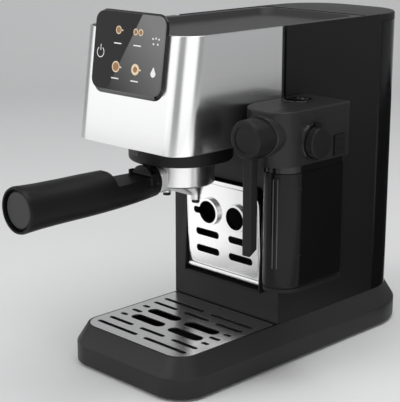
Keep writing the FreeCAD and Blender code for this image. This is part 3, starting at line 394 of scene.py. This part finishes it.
cards = {                                        # place, aim (None is straight up), width, height, radiance
    "frontCard": ((-1.77, -0.14, 0.45), (0, -0.1, 0.3), 1.4, 1.3, 0.98),
    "frontSideCard": ((-1.63, -1.18, 0.45), (0, -0.2, 0.25), 0.88, 1.2, 1.0),
    "cameraCard": ((0.51, -1.61, 0.45), (0, -0.2, 0.25), 1.87, 1.1, 1.05),
    "farCard": ((1.5, 0.1, 0.3), (0, 0.0, 0.2), 1.2, 0.8, 0.15),
    "topCard": ((0.3, -0.2, 1.7), (0, 0, 0.1), 1.3, 1.3, 3.2),
    "upperLeftCard": ((-1.2, -0.95, 1.45), (0, 0, 0.1), 1.1, 1.0, 2.6),
    "leftFloorCard": ((-0.436, 0.042, 0.003), None, 0.38, 0.158, 0.78),
    "frontFloorCard": ((0.22, -0.72, 0.003), None, 1.0, 0.7, 0.85),
}
for name, (place, aim, width, height, radiance) in cards.items():
    light = bpy.data.lights.new(name, "AREA")
    light.shape = "RECTANGLE"
    light.size, light.size_y = width, height
    light.energy = radiance * math.pi * width * height
    lamp = bpy.data.objects.new(name, light)
    lamp.location = onFloor(*place)
    if aim:
        lamp.rotation_euler = (Vector(onFloor(*aim)) - lamp.location).to_track_quat("-Z", "Y").to_euler()
    else:
        lamp.rotation_euler = (math.pi, 0, turn)
    bpy.context.scene.collection.objects.link(lamp)

room = {"Color": (0.86, 0.87, 0.89, 1), "Strength": 0.42}
world = bpy.data.worlds.new("studio")
bpy.context.scene.world = world
world.use_nodes = True
for key, value in room.items():
    world.node_tree.nodes["Background"].inputs[key].default_value = value

ground = {"front": -3.2, "bendAt": 1.44, "bend": 0.8, "top": 2.2, "half": 4.48, "steps": 16}      # metres
floorFinish = Finish("paleFloor", Specular_IOR_Level=0.2)
floorFinish.put(Base_Color=floorFinish.noise(3, 2).mix(grey(0.72), grey(0.75)),
                Roughness=0.7 + floorFinish.noise(40, 2) * 0.1)


def makeFloor():
    # level from the front, then a quarter circle up into a wall behind, along the camera's heading
    t = np.linspace(0, np.pi / 2, ground["steps"])
    bend, bendAt = ground["bend"], ground["bendAt"]
    along = np.concatenate([[ground["front"]], bendAt + bend * np.sin(t), [bendAt + bend]])
    up = np.concatenate([[0], bend * (1 - np.cos(t)), [ground["top"]]])
    side = np.array([math.cos(turn), math.sin(turn), 0]) * ground["half"]
    ahead = np.array([-math.sin(turn), math.cos(turn), 0])
    middle = along[:, None] * ahead + up[:, None] * np.array([0, 0, 1])
    points = np.concatenate([middle - side, middle + side])
    count = len(along)
    mesh = bpy.data.meshes.new("floor")
    mesh.from_pydata(points.tolist(), [],
                     [(i, i + count, i + count + 1, i + 1) for i in range(count - 1)])
    mesh.shade_smooth()
    floor = bpy.data.objects.new("floor", mesh)
    bpy.context.scene.collection.objects.link(floor)
    mesh.materials.append(floorFinish.material)


makeFloor()

flag = {"near": -0.17, "far": 1.35, "outer": 1.5, "innerNear": 0.152, "innerFar": 0.403, "height": 0.002}
flagFinish = Finish("flagCloth", Specular_IOR_Level=0.05)
flagFinish.put(Base_Color=flagFinish.noise(30, 2).mix(grey(0.006), grey(0.009)),
               Roughness=0.9 + flagFinish.noise(80, 1) * 0.05)


def makeFlag():
    # black cloth right of the picture, seen by reflections alone, which keeps the pale floor out of
    # them; its inner edge leans outwards with the distance, as the picture's own edge does
    corners = [onFloor(across, ahead, flag["height"]) for across, ahead in (
        (flag["innerNear"], flag["near"]), (flag["outer"], flag["near"]),
        (flag["outer"], flag["far"]), (flag["innerFar"], flag["far"]))]
    mesh = bpy.data.meshes.new("rightFlag")
    mesh.from_pydata(corners, [], [(0, 1, 2, 3)])
    cloth = bpy.data.objects.new("rightFlag", mesh)
    bpy.context.scene.collection.objects.link(cloth)
    mesh.materials.append(flagFinish.material)
    cloth.visible_camera = cloth.visible_shadow = cloth.visible_diffuse = False


makeFlag()
print("camera, cards, floor and flag set")

base = {"half": 78.0, "front": -160.5, "rear": 181.0, "frontR": 30.0, "rearR": 60.0, "slope": 10.2,
        "band": 18.5, "deck": 35.0, "wall": 3.0, "steps": 20,
        "rebate": (-66.3, 66.3, -148.8, -27.2, 18.3, 3.0), "rebateLow": 31.6,
        "well": (-61.0, 61.0, -144.0, -32.0, 14.0, 6.0), "wellLow": 28.6}
# the base's finish is a lighter copy of the satin black: painted light, standing in for the light on its
# sloped shoulder
paintedLightBaseBlack = mouldedPlastic("paintedLightBaseBlack", 0.016, 0.42, coarseGrain, 0.28)


def makeBaseShell():
    # each row is one outline at one height: up the outer wall and the sloped shoulder, across the
    # deck, down the tray's rebate and well, and back along the inside
    slope, wall, band, deck = base["slope"], base["wall"], base["band"], base["deck"]
    ledge, floor = base["rebateLow"], base["wellLow"]
    outer = roundLoop(box(-base["half"], base["half"], base["front"], base["rear"], base["frontR"],
                          base["rearR"]), base["steps"])
    rebate = roundLoop(box(*base["rebate"]), base["steps"])
    well = roundLoop(box(*base["well"]), base["steps"])
    rise = roundPath([(wall, 0), (0, 0, 1.2), (0, band, 2.5), (slope, deck, 0.7), (slope + 0.5, deck)])
    inner = wall + slope * (floor - band) / (deck - band)
    rows = [carry(rise, *outer),
            carry(roundPath([(-0.4, deck), (0, deck, 0.3), (0, ledge)]), *rebate),
            carry(roundPath([(-1, ledge), (0, ledge, 0.4), (0, floor)]), *well),
            carry([(inner, floor), (wall, band)], *outer)]
    makePiece("base_shell_look", np.concatenate(rows), "machine", "black_plastic", ("base_shell",),
              closeRows=True, finish=paintedLightBaseBlack)


makeBaseShell()

head = {"half": 67.7, "low": 211.7, "high": 310.0, "front": -152.6, "rise": 13.6, "cornerR": 20.0,
        "sheet": 1.5, "rear": -25.4, "steps": 24}


def makeHeadCover():
    # sheet section (inset, height) carried round the U-shaped plan; every point but the two rear
    # ends moves back with height, which leans the front
    h, r, y = head["half"], head["cornerR"], head["front"]
    low, high, sheet = head["low"], head["high"], head["sheet"]
    loop, inward = roundLoop([(-h, y, r), (h, y, r), (h, 0, 0), (-h, 0, 0)], head["steps"])
    count = 2 * (head["steps"] + 1)
    path = np.concatenate([[(-h, head["rear"])], loop[:count], [(h, head["rear"])]])
    inward = np.concatenate([[(1, 0)], inward[:count], [(-1, 0)]])
    section, _ = roundLoop([(0, low, 0.5), (0, high, 0.7), (sheet, high, 0.7), (sheet, low, 0.5)], 5)
    grid = carry(section, path, inward)
    back = head["rise"] * (grid[:, :, 2] - low) / (high - low)
    back[:, [0, -1]] = 0
    grid[:, :, 1] += back
    makePiece("head_cover_look", grid, "machine", "steel_brushed", ("head_cover",), closeRows=True,
              closeColumns=False)


makeHeadCover()

panelLean = math.atan(head["rise"] / (head["high"] - head["low"]))
panelUp = (0, math.sin(panelLean), math.cos(panelLean))
panelOut = (0, -math.cos(panelLean), math.sin(panelLean))
panel = {"half": 44.9, "low": 43.7, "high": 115.4, "r": 12.0, "glassHalf": 43.4, "glassLow": 47.4,
         "glassHigh": 113.6, "glassR": 9.0, "shift": 0.8, "foot": 0.2, "deep": 2.9, "gap": 0.1, "glass": 1.4,
         "edge": 0.45, "flare": 0.8, "steps": 14}
panelFront = panel["deep"] + panel["gap"] + panel["glass"]
# slanted edge, softness and fade of the glare painted on the panel glass
glareSlant = {"run": 0.5605, "start": 48.1, "soft": 0.6, "across": 0.0077, "up": 0.0098, "dark": 0.258}


def paintedGlare(name, dark, bright):
    # painted reflection: a glare painted into the glass's colour, a lighter field right of a slanted line
    # that fades towards the lower left; all lengths in millimetres, with the height taken up the panel's
    # slope
    finish = Finish(name, Specular_IOR_Level=0.2)
    across = finish.place.part(0) * 1000
    slope = (finish.place.part(2) * 1000 - head["low"] - lift) / math.cos(panelLean)
    glareField = (across - slope * glareSlant["run"] + glareSlant["start"]).between(-glareSlant["soft"], glareSlant["soft"])
    strength = (across * glareSlant["across"] + slope * glareSlant["up"] - glareSlant["dark"]).clamp()
    finish.put(Base_Color=(glareField * strength).mix(grey(dark), grey(bright)),
               Roughness=0.08 + finish.noise(40, 2) * 0.03)
    return finish.material


def onPanel(points):
    # (across, up the slope, out of the front) becomes part coordinates
    return stand(points, (0, head["front"], head["low"]), (1, 0, 0), panelUp, panelOut)


def makePanel():
    # rounded rectangles at growing distance from the steel: a flared housing and a flat glass
    half, middle = panel["glassHalf"], panel["shift"]
    foot, _ = roundLoop(box(-panel["half"], panel["half"], panel["low"], panel["high"], panel["r"],
                            panel["r"]), panel["steps"])
    face = roundLoop(box(middle - half, middle + half, panel["glassLow"], panel["glassHigh"],
                         panel["glassR"], panel["glassR"]), panel["steps"])
    flare = [atHeight(foot + (face[0] - foot) * u ** panel["flare"],
                      panel["foot"] + (panel["deep"] - panel["foot"]) * u) for u in (0, 0.25, 0.5, 0.75, 1)]
    makePiece("panel_housing_look", onPanel(np.concatenate(flare)), "machine", "black_gloss",
              ("panel_housing",))
    rim = roundPath([(0, panel["deep"] + panel["gap"]), (0, panelFront, panel["edge"]), (1, panelFront)], 5)
    makePiece("panel_glass_look", onPanel(carry(rim, *face)), "machine", "panel_glass", ("panel_glass",),
              finish=paintedGlare("paintedGlareGlass", 0.006, 0.17))


icons = {"thick": 0.12, "sunk": 0.05, "columns": (-33.3, -12.2, 12.4, 34.5), "rows": (98.6, 67.6),
         "bars": (87.4, 57.8), "bar": (9.5, 1.0), "discGap": 0.112,
         "power": {"at": 78.2, "r": 4.7, "line": 0.7, "start": 125, "sweep": 290, "stroke": 5.2, "dip": 0.6},
         "cups": ((1, 0, 0.0, 3.472, 2.632), (2, 0, -3.2, 2.8, 2.016), (2, 0, 3.2, 2.8, 2.016),
                  (1, 1, 0.0, 4.76, 3.696), (2, 1, 0.0, 4.76, 2.52)),        # column, row, shift, two radii
         "handles": ((1, 0, 4.76, 2.0, 1.3), (1, 1, 5.88, 2.4, 1.5), (2, 1, 5.88, 2.4, 1.5)),
         "drop": (66.4, 3.0), "dot": 1.7, "dotsAt": 93.2,
         "dots": ((-2.6, -2.6), (2.6, -2.6), (0, 2.2), (-3.6, 1.6), (3.6, 1.6))}


def ringBand(x, s, outer, inner, start=0.0, sweep=360.0):
    return arcBand(inner, outer, -icons["sunk"], icons["thick"], start, start + sweep, 41) + (x, s, 0)


def flatShape(loop):
    return np.concatenate([atHeight(loop, -icons["sunk"]), atHeight(loop, icons["thick"])])


def pill(x, s, width, height):
    r = min(width, height) / 2 - 0.01
    loop, _ = roundLoop(box(x - width / 2, x + width / 2, s - height / 2, s + height / 2, r, r), 6)
    return flatShape(loop)


def disc(x, s, r):
    t = np.linspace(0, 2 * np.pi, 40, endpoint=False)
    return flatShape(np.stack([x + r * np.cos(t), s + r * np.sin(t)], -1))


def drop(x, s, r):
    # circle drawn out to a point at the top: its upper half is slimmer, and sin^6 lifts the peak
    t = np.linspace(0, 2 * np.pi, 32, endpoint=False)
    upper = np.clip(np.sin(t), 0, 1)
    return flatShape(np.stack([x + r * np.cos(t) * (1 - 0.2 * upper),
                               s + r * (1 + 0.75 * upper ** 6) * np.sin(t)], -1))


def printed(name, colour, glow):
    finish = Finish(name, Specular_IOR_Level=0.3, Emission_Strength=glow)
    cloud = finish.noise(260, 2)
    tint = cloud.mix(tuple(c * 0.82 for c in colour) + (1,), (*colour, 1))
    finish.put(Base_Color=tint, Emission_Color=tint, Roughness=0.3 + cloud * 0.05)
    return finish.material


inks = {"white": printed("whiteInk", (0.75, 0.75, 0.75), 0.15),
        "cream": printed("creamInk", (0.72, 0.58, 0.40), 0.12),
        "coffee": printed("coffeeInk", (0.30, 0.15, 0.06), 0.10)}


def makeIcons():
    columns, rows, power = icons["columns"], icons["rows"], icons["power"]
    white = [ringBand(columns[0], power["at"], power["r"], power["r"] - power["line"], power["start"],
                      power["sweep"]),
             pill(columns[0], power["at"] + power["r"] - power["dip"], power["line"], power["stroke"])]
    white += [pill(x, s, *icons["bar"]) for x in columns[1:3] for s in icons["bars"]]
    white.append(drop(columns[3], *icons["drop"]))
    white += [pill(columns[3] + a, icons["dotsAt"] + b, icons["dot"], icons["dot"]) for a, b in icons["dots"]]
    cream = [ringBand(columns[i] + shift, rows[j], outer, inner)
             for i, j, shift, outer, inner in icons["cups"]]
    cream += [pill(columns[i] + shift, rows[j], wide, tall) for i, j, shift, wide, tall in icons["handles"]]
    coffee = [disc(columns[i] + shift, rows[j], inner - icons["discGap"])
              for i, j, shift, _, inner in icons["cups"]]
    for ink, shapes in (("white", white), ("cream", cream), ("coffee", coffee)):
        islands("panel_marks_" + ink, [onPanel(shape + (0, 0, panelFront)) for shape in shapes], "machine",
                "white_plastic", finish=inks[ink])


makePanel()
makeIcons()
print("base, head and panel made")

group = {"y": -83.1, "collarLow": 192.4, "collarHigh": 211.5, "collarR": 47.0, "collarHole": 37.5,
         "collarRoof": 198.5, "collarWall": 4.5}
patch = {"from": -113, "sweep": 17, "low": 199.2, "high": 207.2, "thick": 0.25}


def onGroup(points):
    return stand(points, (0, group["y"], 0))


def makeCollar():
    low, high, r, hole = group["collarLow"], group["collarHigh"], group["collarR"], group["collarHole"]
    roof, inside = group["collarRoof"], r - group["collarWall"]
    profile = roundPath([(r, high), (r, low, 2.4), (hole, low, 0.6), (hole, roof)], 8)
    grid = spin(np.concatenate([profile, [(inside, roof), (inside, high)]]), 96)
    makePiece("group_collar_look", onGroup(grid), "machine", "black_plastic", ("group_collar",),
              closeRows=True)
    grid = arcBand(r - 0.1, r + patch["thick"], patch["low"], patch["high"], patch["from"],
                   patch["from"] + patch["sweep"], 17)
    islands("collar_marker", [onGroup(grid)], "machine", "grey_plastic", bevel=0.1)


makeCollar()

ringSteel = brushedSteel("ringSteel", 0.64, 0.3, upright, 0.03)
neckSteel = brushedSteel("neckSteel", 0.92, 0.5, upright, 0.03)
spoutTip = mouldedPlastic("tipBlack", 0.01, 0.4, specular=0.2)
ring = {"low": 170.0, "high": 204.7, "r": 30.5, "wall": 3.1, "bore": 6.2, "floor": 2.5, "foot": 1.4,
        "lines": (191.5, 193.9), "lineHalf": 0.3, "lineDeep": 0.25}
lug = {"r": 36.2, "low": 202.1, "high": 204.9, "half": 12, "first": 90}
neck = {"half": 12.5, "high": 10.5, "z": 177.3, "front": -119.3, "rear": -108.0, "r": 5.0}
spout = {"reach": 23.5, "narrow": 5.5, "narrowR": 5.4, "wide": 15.0, "wideR": 14.9, "top": 169.8,
         "rim": 1.4, "drop": 8.5, "ease": 1.5, "x": 18.7, "r": 4.4, "bore": 2.9, "root": 163.8, "low": 154.0,
         "edge": 156.6}


def makeFilterRing():
    # the ring's section turned about the group's axis, with two fine lines below the lip, and a
    # rounded-rectangle neck that runs out of it towards the handle; lugs sit inside the group
    low, high, r, bore, foot = ring["low"], ring["high"], ring["r"], ring["bore"], ring["foot"]
    half, deep = ring["lineHalf"], ring["lineDeep"]
    lines = [(r - inset, z + side) for z in ring["lines"]
             for inset, side in ((0, -half), (deep, 0), (0, half))]
    profile = roundPath([(bore, low), (r - foot, low, 0.6), (r, low + foot, 0.8), (r, low + 21)])
    inside, floor = r - ring["wall"], low + ring["floor"]
    profile = np.concatenate([profile, lines, [(r, high), (inside, high), (inside, floor), (bore, floor)]])
    makePiece("filter_ring_look", onGroup(spin(profile, 128)), "portafilter", "steel_polished",
              ("filter_ring",), closeRows=True, finish=ringSteel)
    loop, inward = roundLoop(box(-neck["half"], neck["half"], neck["z"] - neck["high"],
                                 neck["z"] + neck["high"], neck["r"], neck["r"]))
    rows = [(1.0, neck["front"]), (0.3, neck["front"] + 0.2), (0, neck["front"] + 1.2), (0, neck["rear"])]
    grid = carry(rows, loop, inward)[:, :, [0, 2, 1]]
    islands("portafilter_neck", [grid], "portafilter", "steel_polished", finish=neckSteel)
    lugs = [onGroup(arcBand(r - 1, lug["r"], lug["low"], lug["high"], middle - lug["half"],
                            middle + lug["half"], 13)) for middle in lug["first"] + 120 * np.arange(3)]
    islands("portafilter_lugs", lugs, "portafilter", "steel_polished", bevel=0.2, finish=ringSteel)


def makeSpout():
    # oblong funnel: outlines at falling heights go from wide to narrow along an eased curve, then the
    # two nozzles with their dark tips, each a tube's section turned about its own axis
    reach, wide, narrow, funnelTop = spout["reach"], spout["wide"], spout["narrow"], spout["top"]
    first, _ = roundLoop(box(-reach, reach, -wide, wide, spout["wideR"], spout["wideR"]), 16)
    last, _ = roundLoop(box(-reach, reach, -narrow, narrow, spout["narrowR"], spout["narrowR"]), 16)
    rows = [atHeight(first * 0.96, funnelTop), atHeight(first, funnelTop - 0.5)]
    rows += [atHeight(last + (first - last) * (1 - u) ** spout["ease"],
                      funnelTop - spout["rim"] - (spout["drop"] - spout["rim"]) * u)
             for u in np.linspace(0, 1, 9)]
    rows.append(atHeight(last * 0.9, funnelTop - spout["drop"] - 0.4))
    r, bore, low, root, edge = spout["r"], spout["bore"], spout["low"], spout["root"], spout["edge"]
    tube = [(0.01, root), *roundPath([(r, root), (r, edge, 0.9), (bore, edge, 0.3), (bore, edge + 3)]),
            (0.01, edge + 3)]
    tip = roundPath([(0.01, low + 2), (bore - 0.3, low + 2), (bore - 0.3, low, 0.3), (r - 0.8, low, 0.4),
                     (r - 0.8, edge + 1), (0.01, edge + 1)])
    nozzles, tips = ([onGroup(spin(profile, 40) + (x, 0, 0)) for x in (-spout["x"], spout["x"])]
                     for profile in (tube, tip))
    islands("spout_tips", tips, "portafilter", "black_plastic", finish=spoutTip)
    islands("portafilter_spout_look", [onGroup(np.concatenate(rows[::-1]))] + nozzles, "portafilter",
            "steel_polished", ("portafilter_spout",), finish=ringSteel, limit=40)


makeFilterRing()
makeSpout()

markGrey = mouldedPlastic("markGrey", 0.74, 0.5, specular=0.2)
beadGrey = mouldedPlastic("beadGrey", 0.06, 0.3, specular=0.35)
container = {"x": 101.3, "y": -58.5, "r": 20.5, "beads": (15.5, 26.5), "beadR": 0.55, "sunk": 0.15,
             "beadLow": 111.0, "beadHigh": 189.0, "marks": (122.0, 180.5), "from": 63, "to": 90}
tank = {"x": 17.7, "y": 121.0, "r": 50.0, "marks": ((125, 141, 264.5), (125, 141, 82.0))}
tick = {"half": 0.8, "thick": 0.15}


def cornerTick(corner, start, end, z):
    # flat tick on an upright round corner, in degrees from the front towards the right
    return arcBand(corner["r"] - 0.1, corner["r"] + tick["thick"], z - tick["half"], z + tick["half"],
                   start - 90, end - 90, 13) + (corner["x"], corner["y"], 0)


def makeMarks():
    # two fine upright beads and two level ticks on the container's front corner, two ticks on the tank
    t = np.linspace(0, 2 * np.pi, 14, endpoint=False)
    low, high, out = container["beadLow"], container["beadHigh"], container["r"] - container["sunk"]
    outline = container["beadR"] * np.stack([np.cos(t), np.sin(t)], -1)
    rows = ((0.3, low - 0.5), (0.8, low - 0.2), (1, low + 0.3), (1, high - 0.3), (0.8, high + 0.2),
            (0.3, high + 0.5))                   # share of the outline, height
    bead = np.concatenate([atHeight(outline * share, z) for share, z in rows])
    beads = [bead + (container["x"] + out * math.sin(a), container["y"] - out * math.cos(a), 0)
             for a in np.radians(container["beads"])]
    islands("container_beads", beads, "milk_jug", "tank_clear", finish=beadGrey)
    ticks = [cornerTick(container, container["from"], container["to"], z) for z in container["marks"]]
    islands("container_marks", ticks, "milk_jug", "white_plastic", finish=markGrey)
    ticks = [cornerTick(tank, *mark) for mark in tank["marks"]]
    islands("tank_marks", ticks, "tank", "white_plastic", finish=markGrey)


makeMarks()

# the column front and the milk lid get lighter copies of the satin black, painted light, and the handle a
# darker one, painted shade
ownAndPaintedLightFinish = {"top_cover": mouldedPlastic("topBlack", 0.03, 0.5, coarseGrain, 0.3),
             "milk_lid": mouldedPlastic("paintedLightLidBlack", 0.013, 0.42, coarseGrain, 0.24),
             "column_front": mouldedPlastic("paintedLightFrontBlack", 0.012, 0.42, coarseGrain, 0.22),
             "portafilter_handle": mouldedPlastic("paintedShadeGripBlack", 0.006, 0.42, coarseGrain, 0.16),
             "cup_stand": brushedSteel("standSteel", 0.7, 0.2, upright, 0.03),
             "handle_cap": mouldedPlastic("capBlack", 0.032, 0.45, fineGrain, 0.26),
             "stand_bracket": finishes["black_plastic"]}
softEdge = {"top_cover": 0.6, "side_panel_left": 0.4, "side_panel_right": 0.4, "milk_lid": 0.6,
            "cup_stand": 0.25, "drip_grid": 0.3, "column_front": 0.4, "tank_lid": 0.5, "basket_clip": 0.3,
            "latch_button": 0.25, "container_foot": 0.5, "milk_spout": 0.4, "froth_knob": 0.3}
rebuilt = {"base_shell", "head_cover", "panel_housing", "panel_glass", "group_collar", "filter_ring",
           "portafilter_spout"}
for node in nodes:
    if node not in rebuilt:
        dressed(node, softEdge.get(node, 0.0), ownAndPaintedLightFinish.get(node))
print("pieces dressed")

bpy.context.scene.view_settings.view_transform = "Standard"
